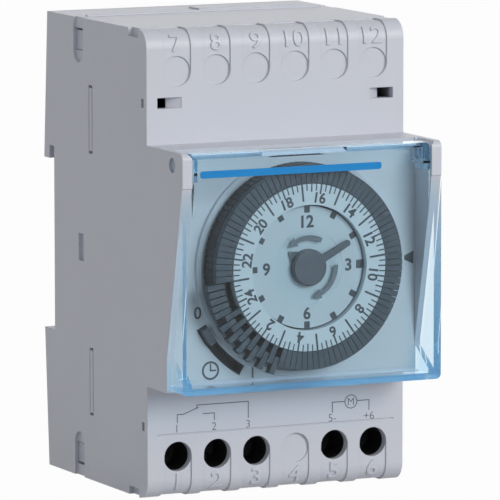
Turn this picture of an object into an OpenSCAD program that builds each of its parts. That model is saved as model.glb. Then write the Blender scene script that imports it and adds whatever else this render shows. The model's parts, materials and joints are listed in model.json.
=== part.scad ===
// Three-module analogue 24-hour time switch for a 35 mm rail.
// Origin: centre of the rail seat. X is the width, -Y faces the user, +Z is up.

/* [Casing] */
// Width over the side walls, three modules
body_w = 53; // [50:0.5:60]
// Height of the casing
body_h = 87.6; // [84:0.2:95]
// Drop of the casing's middle below the rail's centreline
axis_drop = 0.5; // [0:0.1:1]
// Distance from the rail seat to the shoulder face
shoulder_depth = 42.8; // [41:0.2:46]
// Distance from the rail seat to the dial plate's face
plate_depth = 51.4; // [50.4:0.1:52.4]
// How far the front of the cover stands before the dial plate
cover_stand = 7.2; // [7.1:0.1:8]
// Height of the nose that stands through a panel
nose_h = 45; // [44.6:0.1:46]
// Thickness of the side walls
side_wall = 2; // [1.8:0.1:2.2]
// Thickness of the front, top and bottom walls
shell_wall = 1.8; // [1.5:0.1:2]
// Radius of the long edges between shoulder and end faces
shoulder_r = 3.5; // [2.5:0.1:4]

/* [Rail] */
// Height of the rail that the casing clips on
rail_h = 35; // [35:0.1:35.4]
// Free height above and below the rail
rail_play = 0.2; // [0.1:0.05:0.3]
// How far the fixed hook hangs over the rail's edge
hook_grip = 2.5; // [2:0.1:3]
// Gap behind the fixed hook for the rail's edge
hook_gap = 2.2; // [1.6:0.1:2.4]
// Distance from the rail seat to the back of the hooks
hook_depth = 4.75; // [4.4:0.05:5.4]
// Distance from the rail seat to the back edge at the ends
end_depth = 3; // [2.6:0.1:3.4]
// Width of the sliding clip
clip_w = 16; // [14:0.5:18]
// Travel of the sliding clip
clip_travel = 4; // [3:0.25:4.5]

/* [Terminals] */
// Margin between a side face and the row of terminals
row_margin = 2.2; // [2:0.05:2.4]
// Distance of the terminal rows from the end faces
row_inset = 7.8; // [7.4:0.1:8.2]
// Bore over each terminal screw
screw_bore = 5.6; // [5.2:0.1:5.8]
// Depth of the long channels and the blank discs
channel_d = 0.3; // [0.2:0.05:0.4]
// Gap between a clamp's screw and the shroud around it
shroud_gap = 0.2; // [0.15:0.05:0.3]
// Bore of the wire entries in the bottom wall
wire_bore = 4; // [3.6:0.1:4.2]
// Opening of a clamping cage for the wire
cage_gap = 4.2; // [3.8:0.1:4.4]
// Travel of a clamping cage
cage_travel = 2.4; // [1.8:0.1:2.6]

/* [Dial] */
// Margin between the dial and the edge of the nose
dial_margin = 3.4; // [3.2:0.1:3.8]
// Length of a tappet's head along the radius
head_len = 3.4; // [3.2:0.1:3.6]
// Width of the printed hour ring
ring_w = 4; // [3.6:0.1:4.3]
// Number of tappets, one every quarter of an hour
tappet_count = 96; // [96]
// Outward travel of a tappet
tappet_travel = 1.8; // [1.5:0.1:1.9]
// Gap between neighbouring tappets
tappet_gap = 0.1; // [0.08:0.01:0.14]
// Depth of a tappet's head
head_t = 1.6; // [1.4:0.1:1.8]
// How far the face of the dial stands before the dial plate
dial_stand = 5.5; // [5.4:0.1:5.6]
// How far the clock face lies behind the hour ring
face_sink = 1.2; // [1:0.1:1.3]
// Turn of the dial at rest
dial_turn = -1.5; // [-3:0.1:3]

/* [Hands and wheels] */
// Radius of the minute hand's hub
hub_r = 3.45; // [3:0.05:3.8]
// Gap between the minute hand's tip and the hour ring
minute_gap = 2.3; // [1.8:0.1:3]
// Length of the hour hand from the centre
hour_len = 4.9; // [4.4:0.1:5.4]
// Radius of the raised setting disc
disc_r = 6.9; // [6.4:0.1:7.2]
// Radius of the minute arbor
arbor_r = 0.75; // [0.7:0.01:0.8]
// Running gap of the nested tubes
run_gap = 0.07; // [0.05:0.01:0.09]
// Module of the dial wheels
dial_m = 0.4; // [0.4]
// Module of the clock train
train_m = 0.3; // [0.3]
// Radius of the train's pivots
pivot_r = 0.5; // [0.4:0.05:0.6]

/* [Cover] */
// Wall of the clear cover
cover_t = 1.1; // [0.9:0.05:1.2]
// Distance from the top of the cover to its hinge axis
hinge_drop = 2.2; // [2:0.05:2.3]
// Distance from the dial plate to the hinge axis
hinge_reach = 2.7; // [2.6:0.05:3]
// Radius of the hinge pins
pin_r = 1.3; // [1.1:0.05:1.4]
// Height of the ears that carry the cover
ear_h = 6.4; // [6:0.1:7]
// Gap between the cover and the casing
cover_gap = 0.3; // [0.25:0.05:0.4]

/* [Hidden] */
$fn = 48;

// Heights and widths that follow from the driving sizes
mid_z = -axis_drop;
top_z = mid_z + body_h/2;
bottom_z = mid_z - body_h/2;
nose_top = mid_z + nose_h/2;
nose_bottom = mid_z - nose_h/2;
seat_top = rail_h/2 + rail_play;
seat_bottom = -seat_top;
hook_tip = seat_top - hook_grip;
inner_x = body_w/2 - side_wall;
pitch = (body_w - 2*row_margin)/6;
row_z = body_h/2 - row_inset;
cover_depth = plate_depth + cover_stand;
ear_bottom = nose_top - ear_h;
cheek_bend = nose_bottom + 6.3;
screw_z = mid_z - row_z;
hinge_z = nose_top - cover_gap - hinge_drop;
hinge_depth = plate_depth + hinge_reach;
live = [1, 2, 3, 5, 6];
function term_x(i) = (i - 3.5)*pitch;

// Depths of the stacked layers, measured forward from the rail seat
plate_t = 1.4;
board_depth = 24;
board_t = 1.6;
front_plate_depth = plate_depth - 4.5;
rear_plate_depth = front_plate_depth - 11.7;
move_t = 1;
dial_depth = plate_depth + dial_stand;
face_depth = dial_depth - face_sink;
drum_back = plate_depth + 0.3;
head_back = dial_depth - head_t;

// Radii of the dial
dial_r = nose_h/2 - dial_margin;
tappet_r = dial_r - head_len;
ring_r = tappet_r - ring_w;
minute_len = ring_r - minute_gap;

// Extrudes a (y, z) profile along X
module across(x0, x1) translate([x0, 0, 0]) rotate([90, 0, 90]) linear_extrude(x1 - x0) children();

// Extrudes an (x, z) profile forward, from depth d0 to depth d1
module forward(d0, d1) translate([0, -d0, 0]) rotate([90, 0, 0]) linear_extrude(d1 - d0) children();

// Round bar along the depth
module rod(x, z, r, d0, d1) translate([x, -d0, z]) rotate([90, 0, 0]) cylinder(r = r, h = d1 - d0);

// Round bar along X
module bar_x(y, z, r, x0, x1) translate([x0, y, z]) rotate([0, 90, 0]) cylinder(r = r, h = x1 - x0);

// Block between two corners, given as x, depth and height ranges
module block(x0, x1, d0, d1, z0, z1) translate([x0, -d1, z0]) cube([x1 - x0, d1 - d0, z1 - z0]);

// Waste outside a rounded corner at the origin that opens towards +, +
module corner_waste(r) difference() {
    translate([-1, -1]) square(r + 1);
    translate([r, r]) circle(r);
}

// Both sides of the casing
module both_sides() { children(); mirror([1, 0, 0]) children(); }

// Upper and lower half of the casing, mirrored about its middle
module both_halves() {
    children();
    translate([0, 0, 2*mid_z]) mirror([0, 0, 1]) children();
}

// Side view of the shoulder block, inset on every side but the back
module shoulder_block(inset, back) difference() {
    translate([-shoulder_depth + inset, bottom_z + inset])
        square([shoulder_depth - inset + back, body_h - 2*inset]);
    translate([-shoulder_depth + inset, bottom_z + inset]) corner_waste(shoulder_r - inset);
    translate([-shoulder_depth + inset, top_z - inset]) mirror([0, 1]) corner_waste(shoulder_r - inset);
}

// Cheek beside the cover: its front edge slopes back from the ear to the dial plate
module cheek(over) polygon([[1 - shoulder_depth, nose_bottom - over],
    [1 - shoulder_depth, nose_top], [-cover_depth, nose_top], [-cover_depth, ear_bottom],
    [0.2 - cover_depth, ear_bottom - 0.2], [-plate_depth, cheek_bend], [-plate_depth, nose_bottom - over]]);

// Outline of the side walls with rail hooks, ear and sloping cheek
ear_r = 1.3;
module side_outline() difference() {
    union() {
        shoulder_block(0, 0);
        polygon([[-1, bottom_z], [-1, seat_bottom], [hook_depth, seat_bottom], [end_depth, bottom_z]]);
        polygon([[-1, seat_top], [hook_gap, seat_top], [hook_gap, hook_tip], [hook_depth, hook_tip],
            [end_depth, top_z], [-1, top_z]]);
        cheek(0);
    }
    translate([-cover_depth, nose_top]) mirror([0, 1]) corner_waste(ear_r);
}

/* Casing details, all in one place so that the side and its lugs match */
snap_y0 = 9.4;
snap_y1 = 13.8;
snap_z0 = body_h/2 - 6.3;
snap_z1 = body_h/2 - 2.1;
notch_z = body_h/2 - 13.6;
slot_in = 2.2;
disc_d = channel_d + 0.3;
end_rib = 0.3;
tunnel_wall = 0.9;
tunnel_r = screw_bore/2 + shroud_gap;
bus_depth = 27.6;
bus_t = 1;
wire_depth = bus_depth - cage_gap/2;
cage_wall = 1.4;
cage_front = bus_depth + bus_t + 0.3;
strap_depth = cage_front + cage_wall + cage_travel + 0.2;
tunnel_depth = strap_depth + 0.8;
shroud_front = shoulder_depth - shell_wall - 0.1;
shroud_back = tunnel_depth + 0.1;

// Marks of the side wall: snap window, latch strip, rest and notches
module side_marks() {
    snap_mid = (snap_y0 + snap_y1)/2;
    strip_w = 1.7;
    strip_depth = 16.4;
    strip_z0 = body_h/2 - 25.3;
    strip_len = 12.9;
    pit = 0.5;
    both_halves() {
        // window of the snap, with its lead-in above and its ramp below
        block(inner_x - 1, body_w/2 + 1, snap_y0, snap_y1, mid_z + snap_z0, mid_z + snap_z1);
        block(body_w/2 - 0.5, body_w/2 + 1, snap_y0, snap_y1, mid_z + snap_z1 - 0.1, top_z + 1);
        intersection() {
            translate([body_w/2 - 0.6, -snap_mid, mid_z + snap_z0]) rotate([0, 90, 0])
                cylinder(r = (snap_y1 - snap_y0)/2, h = 2);
            block(body_w/2 - 1, body_w/2 + 1, snap_y0, snap_y1, mid_z + snap_z0 - 4, mid_z + snap_z0 + 0.1);
        }
        // latch strip: two thin slits and a pit at each end
        for (e = [0, strip_len - pit])
            block(body_w/2 - 1.5, body_w/2 + 1, strip_depth, strip_depth + strip_w,
                mid_z + strip_z0 + e, mid_z + strip_z0 + e + pit);
        for (d = [0, strip_w - 0.25])
            block(body_w/2 - 0.4, body_w/2 + 1, strip_depth + d, strip_depth + d + 0.25,
                mid_z + strip_z0, mid_z + strip_z0 + strip_len);
        // notch behind the shoulder for a terminal cover
        block(body_w/2 - 1.1, body_w/2 + 1, shoulder_depth - 2.4, shoulder_depth - 1.3,
            mid_z + notch_z - 0.8, mid_z + notch_z + 0.8);
        // corner notch at the end face
        block(body_w/2 - 1, body_w/2 + 1, shoulder_depth - 8.2, shoulder_depth - 3.8, top_z - 1.6, top_z + 1);
    }
    // moulding rest at half height
    block(body_w/2 - 0.7, body_w/2 + 1, 11.5, 13.9, mid_z - 2.4, mid_z + 2.8);
}

// Shallow channel from a terminal's bore over the rounded edge
module channels(half) intersection() {
    for (i = [1:6])
        across(term_x(i) - screw_bore/2, term_x(i) + screw_bore/2) difference() {
            shoulder_block(-1, 0);
            shoulder_block(channel_d, 0);
        }
    block(-body_w, body_w, shoulder_depth - 5.5, shoulder_depth + 2,
        half > 0 ? mid_z + row_z : bottom_z - 2, half > 0 ? top_z + 2 : screw_z);
}

module front_casing() color([0.78, 0.79, 0.82]) difference() {
    union() {
        both_sides() across(inner_x, body_w/2) side_outline();
        // shoulders with top and bottom wall
        across(-inner_x, inner_x) difference() {
            shoulder_block(0, end_depth - shell_wall);
            shoulder_block(shell_wall, end_depth);
            translate([-shoulder_depth - 1, nose_bottom + shell_wall])
                square([shell_wall + 2, nose_h - 2*shell_wall]);
        }
        // top and bottom wall of the nose
        for (z = [nose_top - shell_wall, nose_bottom])
            block(-inner_x, inner_x, shoulder_depth - shell_wall, plate_depth, z, z + shell_wall);
        // collars round the wire entries
        for (i = live) translate([term_x(i), -wire_depth, bottom_z]) cylinder(r = wire_bore/2 + 0.8, h = 3.4);
        // walls between the terminals
        for (i = [1:5])
            block(term_x(i) + pitch/2 - 0.4, term_x(i) + pitch/2 + 0.4, wire_depth - 5, shroud_back - 0.1,
                bottom_z + 1, screw_z + 5);
        // ridge across the upper end face, and a low pad behind it
        block(-inner_x, inner_x, 10.6, 11.4, top_z - 0.1, top_z + end_rib);
        block(0.5, inner_x - 1, end_depth, 7.6, top_z - 0.1, top_z + end_rib);
    }
    for (i = live) {
        rod(term_x(i), screw_z, screw_bore/2, shoulder_depth - 6, shoulder_depth + 1);
        translate([term_x(i), -wire_depth, bottom_z - 1]) cylinder(r = wire_bore/2, h = 6);
    }
    // blank discs over the unused terminals
    for (i = [1:6]) rod(term_x(i), mid_z + row_z, screw_bore/2, shoulder_depth - disc_d, shoulder_depth + 1);
    rod(term_x(4), screw_z, screw_bore/2, shoulder_depth - disc_d, shoulder_depth + 1);
    channels(1);
    channels(-1);
    both_sides() side_marks();
    // mouth of the clip's guide
    block(-guide_x, guide_x, -end_depth, -clip_front + 0.2, bottom_z - 1, bottom_z + shell_wall + 1);
    // ramped slots that take a terminal cover
    slot_x = body_w/2 - slot_in;
    slot_len = 4.9;
    both_sides() translate([0, 0, mid_z + notch_z - 1]) linear_extrude(2)
        polygon([[slot_x, -shoulder_depth - 1], [slot_x, slot_len*0.7 - shoulder_depth],
            [slot_x - slot_len, 0.1 - shoulder_depth], [slot_x - slot_len, -shoulder_depth - 1]]);
    // line between the printed field and the lower terminals
    block(-inner_x, inner_x, shoulder_depth - 0.15, shoulder_depth + 1, screw_z + 4.1, screw_z + 4.35);
    // chamfer on the inner top edge of the ears
    both_sides() forward(plate_depth + 0.2, cover_depth + 1)
        polygon([[inner_x - 1, nose_top + 1], [inner_x - 1, nose_top - 0.8], [inner_x, nose_top - 0.8],
            [inner_x + 0.8, nose_top], [inner_x + 0.8, nose_top + 1]]);
    // room for the movement's coil
    block(-coil_half - coil_room, coil_half + coil_room, core_depth - coil_r - coil_room,
        core_depth + coil_r + coil_room, coil_z - coil_r - coil_room, coil_z);
    // bearings of the cover in the ears
    bar_x(-hinge_depth, hinge_z, pin_r + run_gap, -body_w, body_w);
}

/* Rear base with its rail seat, the guide of the clip and the posts of the board */
guide_x = clip_w/2 + 0.15;
clip_back = 1;
clip_front = -1;
spring_y = -0.3;
spring_r = 1.35;
spring_wire = 0.5;
window_top = seat_bottom - 7.8;
window_bottom = seat_bottom - 17.3;
spring_foot = window_bottom + 1.6;
guide_top = seat_bottom - 5.5;
post_x = inner_x - 5.5;
post_z = [top_z - 10.3, mid_z - 20];
post_r = 2.2;

module base_wall() polygon([[end_depth, top_z], [hook_depth, hook_tip], [hook_gap, hook_tip],
    [hook_gap, seat_top], [0, seat_top], [0, seat_bottom], [hook_depth, seat_bottom],
    [end_depth, bottom_z], [end_depth - shell_wall, bottom_z],
    [end_depth - shell_wall, bottom_z + shell_wall + 1],
    [hook_depth - shell_wall, seat_bottom - shell_wall], [-shell_wall, seat_bottom - shell_wall],
    [-shell_wall, seat_top + shell_wall], [hook_depth - shell_wall, seat_top + shell_wall],
    [end_depth - shell_wall, top_z - shell_wall - 1], [end_depth - shell_wall, top_z]]);

module rear_base() color([0.72, 0.73, 0.77]) {
    difference() {
        union() {
            across(-inner_x, inner_x) base_wall();
            // housing of the clip's guide
            across(-guide_x - 1.6, guide_x + 1.6)
                polygon([[-4, bottom_z + shell_wall], [-4, seat_bottom - shell_wall + 0.5],
                    [-1, seat_bottom - shell_wall + 0.5], [hook_depth - 0.4, seat_bottom - shell_wall],
                    [end_depth - 0.4, bottom_z + shell_wall]]);
            for (x = [-post_x, post_x], z = post_z) rod(x, z, post_r, shell_wall - 0.5, board_depth);
            // stiffening ribs inside
            for (x = [-12, 12]) block(x - 0.6, x + 0.6, shell_wall - 0.5, 5, seat_bottom, seat_top + 1);
        }
        // guide: wide inside, narrower at the back, open at the bottom
        block(-guide_x, guide_x, -clip_back - 0.2, -clip_front + 0.2, bottom_z - 1, guide_top);
        block(-guide_x + 1.5, guide_x - 1.5, -hook_depth - 1, -clip_front + 0.2,
            bottom_z - 1, seat_bottom + 1);
        block(-2.4, 2.4, 0, 2.2, spring_foot, window_top + 0.3);
    }
    // foot of the clip's spring
    block(-1.2, 1.2, -0.9, 2.6, spring_foot - 1.2, spring_foot);
    // tongues that snap into the side walls
    both_sides() both_halves() {
        block(inner_x - 1.7, inner_x - 0.05, shell_wall - 0.5, snap_y1 + 0.8,
            mid_z + snap_z0 + 0.1, mid_z + snap_z1 - 0.4);
        block(inner_x - 0.1, inner_x + side_wall - 0.7, snap_y0 + 0.1, snap_y1 - 0.1,
            mid_z + snap_z0 + 0.1, mid_z + snap_z1 - 0.4);
    }
}

module rail_clip() color([0.30, 0.32, 0.35]) difference() {
    union() {
        block(-clip_w/2, clip_w/2, -clip_back, -clip_front, bottom_z + 0.8, guide_top - 0.2);
        // head with the tooth that grips the rail's lower edge
        across(-clip_w/2 + 1.65, clip_w/2 - 1.65)
            polygon([[clip_front, guide_top - 0.4], [clip_front, seat_bottom - 0.3], [1.3, seat_bottom - 0.3],
                [1.3, seat_bottom + 1.3], [1.9, seat_bottom + 2], [4.2, seat_bottom - 0.3],
                [4.2, guide_top + 1.2], [clip_back, guide_top - 0.8]]);
        // foot that a screwdriver pulls
        block(-4.5, 4.5, -2.2, 0, bottom_z + 0.8, bottom_z + 5.2);
    }
    block(-2.4, 2.4, -4, 4, window_bottom, window_top);
    block(-2.6, 2.6, -4, 4, bottom_z + 2, bottom_z + 3.8);
}

/* Coil of round wire between the clip's window and the foot */
spring_turns = 7;
spring_steps = 12;
function coil_point(k, a) = let (t = 360*k/spring_steps, rr = spring_r + spring_wire/2*cos(a))
    [rr*cos(t), spring_y + rr*sin(t), spring_foot + 0.3 + spring_wire/2*sin(a)
        + k/spring_steps/spring_turns*(window_top - spring_foot - 0.6)];
module clip_spring() color([0.75, 0.75, 0.78]) {
    rings = spring_turns*spring_steps;
    polyhedron(
        points = [for (k = [0:rings], j = [0:7]) coil_point(k, 45*j)],
        faces = concat(
            [[for (j = [0:7]) j]],
            [[for (j = [7:-1:0]) rings*8 + j]],
            [for (k = [0:rings - 1], j = [0:7])
                [k*8 + j, (k + 1)*8 + j, (k + 1)*8 + (j + 1)%8, k*8 + (j + 1)%8]]));
}

/* Dial plate with the arc slot of the override */
slot_r0 = dial_r + 2.1;
slot_r1 = dial_r + 4.2;
slot_a0 = 208.5;
slot_a1 = 239.5;
feel_a = 225;
feel_r0 = tappet_r - 0.8;
feel_r1 = dial_r - 0.4;
gear_hole = 7;
guide_wall = 0.25;
guide_floor = front_plate_depth + move_t + 0.1;
skirt_back = guide_floor + 0.6;
skirt_front = plate_depth - plate_t - 0.4;

// Sector of a ring, drawn as (x, z) about the dial's centre
module ring_sector(r0, r1, a0, a1) difference() {
    intersection() {
        circle(r1);
        polygon([[0, 0], for (k = [0:4]) 2*r1*[cos(a0 + (a1 - a0)*k/4), sin(a0 + (a1 - a0)*k/4)]]);
    }
    circle(r0);
}

module face_plate() color([0.72, 0.76, 0.80]) {
    difference() {
        union() {
            forward(plate_depth - plate_t, plate_depth) translate([0, mid_z])
                square([2*inner_x, nose_h - 2*shell_wall], center = true);
            // skirt that seats the plate in the nose
            forward(plate_depth - 4, plate_depth - plate_t) translate([0, mid_z]) difference() {
                square([2*inner_x, nose_h - 2*shell_wall], center = true);
                square([2*inner_x - 2.2, nose_h - 2*shell_wall - 1.2], center = true);
            }
            // low collar round the drum
            translate([0, 0, mid_z]) forward(plate_depth - 0.1, plate_depth + 0.7) difference() {
                circle(dial_r + 1.7);
                circle(dial_r + 0.7);
                translate([-body_w/2, hinge_z - mid_z - hinge_drop - 0.4]) square(body_w);
            }
        }
        translate([0, 0, mid_z]) {
            rod(0, 0, gear_hole, plate_depth - 9, plate_depth + 9);
            forward(plate_depth - 9, plate_depth + 9) {
                ring_sector(slot_r0, slot_r1, slot_a0, slot_a1);
                ring_sector(feel_r0, feel_r1, feel_a - 4, feel_a + 4);
            }
        }
    }
}

// Dark tray behind the slot: its rim lines the slot, its floor carries the slider
module override_guide() color([0.10, 0.11, 0.12]) translate([0, 0, mid_z]) {
    in_r = slot_r0 - 1;
    out_r = slot_r1 + 0.5;
    end_a = 0.7;
    difference() {
        forward(guide_floor, plate_depth - plate_t - 0.02) ring_sector(in_r, out_r, slot_a0 - 2,
            slot_a1 + 0.6);
        forward(guide_floor + 0.5, plate_depth)
            ring_sector(in_r + 0.4, out_r - 0.3, slot_a0 - 0.7, slot_a1 - end_a);
        block(-body_w, 0, guide_floor - 1, plate_depth, -body_w, -nose_h/2 + shell_wall + 0.8);
    }
    // rim in the slot, on the wall at the far end
    forward(plate_depth - plate_t - 0.3, plate_depth - 0.05) difference() {
        ring_sector(slot_r0 + 0.02, slot_r1 - 0.02, slot_a0 + 0.05, slot_a1 - 0.1);
        ring_sector(slot_r0 + guide_wall, slot_r1 - guide_wall, slot_a0 + 0.6, slot_a1 - end_a - 0.1);
    }
}

module override_slider() color([0.35, 0.38, 0.42]) translate([0, 0, mid_z]) {
    knob_half = 4.2;
    knob_a = slot_a0 + knob_half + 0.8;
    knob_in = guide_wall + 0.1;
    forward(skirt_front - 0.1, plate_depth + 1.6)
        ring_sector(slot_r0 + knob_in, slot_r1 - knob_in, knob_a - knob_half, knob_a + knob_half);
    forward(skirt_back, skirt_front)
        ring_sector(slot_r0 - 0.5, slot_r1 + 0.1, knob_a - knob_half - 0.8, knob_a + knob_half + 0.8);
}

/* Clear cover, hinged in the ears */
cover_top = nose_top - cover_gap;
cover_bottom = nose_bottom + 0.3;
neck_x = inner_x - cover_gap;
panel_back = cover_depth - cover_t;
swing_r = norm([cover_depth - hinge_depth, ear_bottom - hinge_z]) + 0.15;

roll_end = 40;

module cover() color([0.70, 0.86, 0.95, 0.35]) {
    roll_low = hinge_z - hinge_drop - mid_z;
    roll_gap = sqrt(drum_r*drum_r - roll_low*roll_low) + 1.5;
    difference() {
        union() {
            // panel: narrow between the ears, full width below them
            forward(panel_back, cover_depth) difference() {
                union() {
                    translate([-body_w/2, cover_bottom]) square([body_w,
                        ear_bottom - cover_gap - cover_bottom]);
                    translate([-neck_x, 0]) square([2*neck_x, cover_top]);
                }
                for (s = [0, 1]) mirror([s, 0]) {
                    translate([-body_w/2, cover_bottom]) corner_waste(1);
                    translate([-body_w/2, ear_bottom - cover_gap]) mirror([0, 1]) corner_waste(0.8);
                }
            }
            // top wall, rolled down behind the hinge axis
            across(-neck_x, neck_x) {
                translate([-cover_depth, cover_top - cover_t]) square([cover_depth - hinge_depth, cover_t]);
                translate([-hinge_depth, hinge_z]) intersection() {
                    difference() {
                        circle(hinge_drop);
                        circle(hinge_drop - cover_t);
                    }
                    polygon([[0, 0], [0, 9], [9*tan(roll_end), 9]]);
                }
            }
            both_sides() {
                // lug beside the ear
                across(neck_x - cover_t, neck_x) {
                    translate([-hinge_depth, hinge_z]) circle(hinge_drop - 0.2);
                    translate([-cover_depth, ear_bottom + 1])
                        square([cover_depth - hinge_depth, cover_top - ear_bottom - 2]);
                }
                // cheek in line with the casing's side wall
                across(body_w/2 - cover_t, body_w/2) translate([-cover_depth, cover_bottom])
                    square([cover_depth - plate_depth, ear_bottom - cover_gap - cover_bottom]);
                // gusset in the lower corner
                across(body_w/2 - cover_t - 1.1, body_w/2 - cover_t)
                    polygon([[0.2 - cover_depth, cover_bottom + 0.2], [-panel_back, cover_bottom + 2],
                        [-plate_depth - 0.8, cover_bottom + 5.6], [-plate_depth - 0.8, cover_bottom + 0.2]]);
            }
            // lower wall
            block(-body_w/2 + 1, body_w/2 - 1, plate_depth + cover_gap, cover_depth,
                cover_bottom, cover_bottom + cover_t);
        }
        // bevel along the top of the front
        across(-body_w, body_w) polygon([[-cover_depth - 1, cover_top + 1], [-panel_back, cover_top + 1],
            [-panel_back, cover_top], [-cover_depth, cover_top - cover_t], [-cover_depth - 1,
                cover_top - cover_t]]);
        // the roll stops beside the drum
        block(-roll_gap, roll_gap, hinge_depth - hinge_drop - 1, hinge_depth, hinge_z - hinge_drop,
            cover_top + 1);
        both_sides() {
            // room for the casing's sloping cheek
            across(inner_x - cover_gap, body_w) translate([-cover_gap, 0]) cheek(9);
            // relief that lets the wide part swing past the ears
            bar_x(-hinge_depth, hinge_z, swing_r, neck_x + 0.02, body_w);
            // outer corners of the lower wall
            translate([body_w/2, 0, cover_bottom]) mirror([1, 0, 0])
                forward(plate_depth, cover_depth + 1) corner_waste(1);
        }
    }
    // hinge pins
    both_sides() bar_x(-hinge_depth, hinge_z, pin_r, neck_x - 0.5, body_w/2 - 0.4);
}

/* Switching dial: drum, hour ring and 96 tappets */
drum_r = dial_r + 0.1;
rib_w = 0.25;
tube_r = arbor_r + 3*run_gap + 1.2;
hub_bore = tube_r + run_gap;
dial_z = 30;
idler_z = [10, 16];
hour_z = [24, 32];
minute_z = [8, 30];
dial_gear = [plate_depth - 3, plate_depth - 2.2];
idler_gear = [front_plate_depth - 1.3, front_plate_depth - 0.5];
hour_gear = [front_plate_depth - 2.4, front_plate_depth - 1.6];
minute_gear = [front_plate_depth - 3.6, front_plate_depth - 2.8];
cannon_z = 10;

// Points of a gear with z teeth of module m; small pinions have radial roots
function gear_points(z, m) = let (
        rp = z*m/2,
        pinion = z < 14,
        ra = rp + (pinion ? 0.65 : 0.75)*m,
        rf = rp - (pinion ? 1.05 : 1)*m,
        half = (PI*m/4 - 0.035)/rp*180/PI,
        tip = half - (pinion ? 0.25 : 0.42)*m/rp*180/PI*0.75,
        root = pinion ? half : half + 0.25*m/rp*180/PI)
    [for (k = [0:z - 1], p = [[rf, -root], [rp, -half], [ra, -tip], [ra, tip], [rp, half], [rf, root]])
        p[0]*[cos(360*k/z + p[1]), sin(360*k/z + p[1])]];

// Turn that brings a gear of zb teeth into mesh with one of za teeth turned by phi, seen at angle a
function mate(phi, za, zb, a) = a + 180 + (180 - (phi - a)*za)/zb;

function polar(r, a) = r*[cos(a), sin(a)];

module wheel(z, m, turn, d0, d1) forward(d0, d1) rotate(turn) polygon(gear_points(z, m));

module tappet_drum() color([0.16, 0.19, 0.22]) translate([0, 0, mid_z]) difference() {
    union() {
        // rim with a groove under every gap between the tappets
        forward(drum_back, head_back - 0.1) difference() {
            circle(drum_r);
            for (k = [0:tappet_count - 1]) rotate(tappet_angle(k) + tappet_step/2)
                translate([drum_r - 0.2, -rib_w/2]) square([1, rib_w]);
        }
        rod(0, 0, 4.4, dial_gear[0], drum_back + 0.1);
        wheel(dial_z, dial_m, 0, dial_gear[0], dial_gear[1]);
    }
    // pocket for the clock face, channel for the tappets, hollow back
    rod(0, 0, ring_r - 0.1, face_depth - 0.9, dial_depth);
    forward(head_back - 1.3, dial_depth) difference() {
        circle(tappet_r + 2.9);
        circle(tappet_r + 0.1);
    }
    forward(drum_back - 1, drum_back + 1.4) difference() {
        circle(tappet_r - 1.3);
        circle(gear_hole - 1);
    }
    rod(0, 0, hub_bore, dial_gear[0] - 1, dial_depth);
}

module hour_ring() color([0.80, 0.84, 0.86]) translate([0, 0, mid_z])
    forward(head_back - 0.1, dial_depth) difference() {
        circle(tappet_r - 0.1);
        circle(ring_r);
    }

tappet_step = 360/tappet_count;
set_out = [50, 51, 52, 53, 62, 64, 66];
jointed = [54, 55, 56, 57, 58, 59, 60];
jointed_out = [54, 56, 58, 60];
function tappet_angle(k) = (k + 0.5)*tappet_step + dial_turn;
function listed(k, list) = len(search(k, list)) > 0;
stem_w = 0.5;
stem_t = 0.8;
stem_len = 1.1;

// Stem of tappet k, pushed out by the given travel
module stem(k, out) rotate([0, -tappet_angle(k), 0])
    block(tappet_r + 0.2 + out, tappet_r + 0.2 + stem_t + out, head_back - stem_len, head_back + 0.1,
        -stem_w/2, stem_w/2);

// One tappet with its head and stem
module tappet(k, out) translate([0, 0, mid_z]) {
    half = tappet_step/2;
    rotate([0, -tappet_angle(k), 0]) translate([out, 0, 0]) forward(head_back, dial_depth) intersection() {
        difference() {
            circle(dial_r);
            circle(tappet_r);
        }
        translate([tappet_gap/2/sin(half), 0]) polygon([[0, 0], 30*[cos(half), sin(half)],
            30*[cos(half), -sin(half)]]);
    }
    stem(k, out);
}

module tappets_in() color([0.28, 0.31, 0.34]) translate([0, 0, mid_z]) {
    free = [for (k = [0:tappet_count - 1]) if (!listed(k, set_out) && !listed(k, jointed)) k];
    forward(head_back, dial_depth) difference() {
        circle(dial_r);
        circle(tappet_r);
        for (k = [0:tappet_count - 1]) rotate(tappet_angle(k) + tappet_step/2)
            translate([tappet_r - 1, -tappet_gap/2]) square([dial_r, tappet_gap]);
        for (k = concat(set_out, jointed)) rotate(tappet_angle(k))
            polygon([[0, 0], 30*[cos(tappet_step/2), sin(tappet_step/2)], 30*[cos(tappet_step/2),
                -sin(tappet_step/2)]]);
    }
    for (k = free) stem(k, 0);
}

module tappets_out() color([0.28, 0.31, 0.34]) for (k = set_out) tappet(k, tappet_travel);

module jointed_tappet(n) color([0.28, 0.31, 0.34])
    tappet(jointed[n - 1], listed(jointed[n - 1], jointed_out) ? tappet_travel : 0);
module tappet_1() jointed_tappet(1);
module tappet_2() jointed_tappet(2);
module tappet_3() jointed_tappet(3);
module tappet_4() jointed_tappet(4);
module tappet_5() jointed_tappet(5);
module tappet_6() jointed_tappet(6);
module tappet_7() jointed_tappet(7);

/* Clock face and hands */
pipe_bore = arbor_r + run_gap;
pipe_r = pipe_bore + 0.53;
tube_bore = pipe_r + run_gap;
hour_hand_depth = face_depth + 0.1;
hand_t = 0.25;
disc_depth = hour_hand_depth + hand_t + 0.15;
disc_t = 0.3;
minute_depth = disc_depth + disc_t;
hour_a = 142.4;
minute_a = 27.9;

module clock_face() color([0.20, 0.23, 0.26]) translate([0, 0, mid_z]) difference() {
    union() {
        rod(0, 0, ring_r - 0.3, face_depth - 0.6, face_depth);
        rod(0, 0, tube_r, front_plate_depth, face_depth - 0.3);
    }
    rod(0, 0, tube_bore, front_plate_depth - 1, dial_depth);
}

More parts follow.
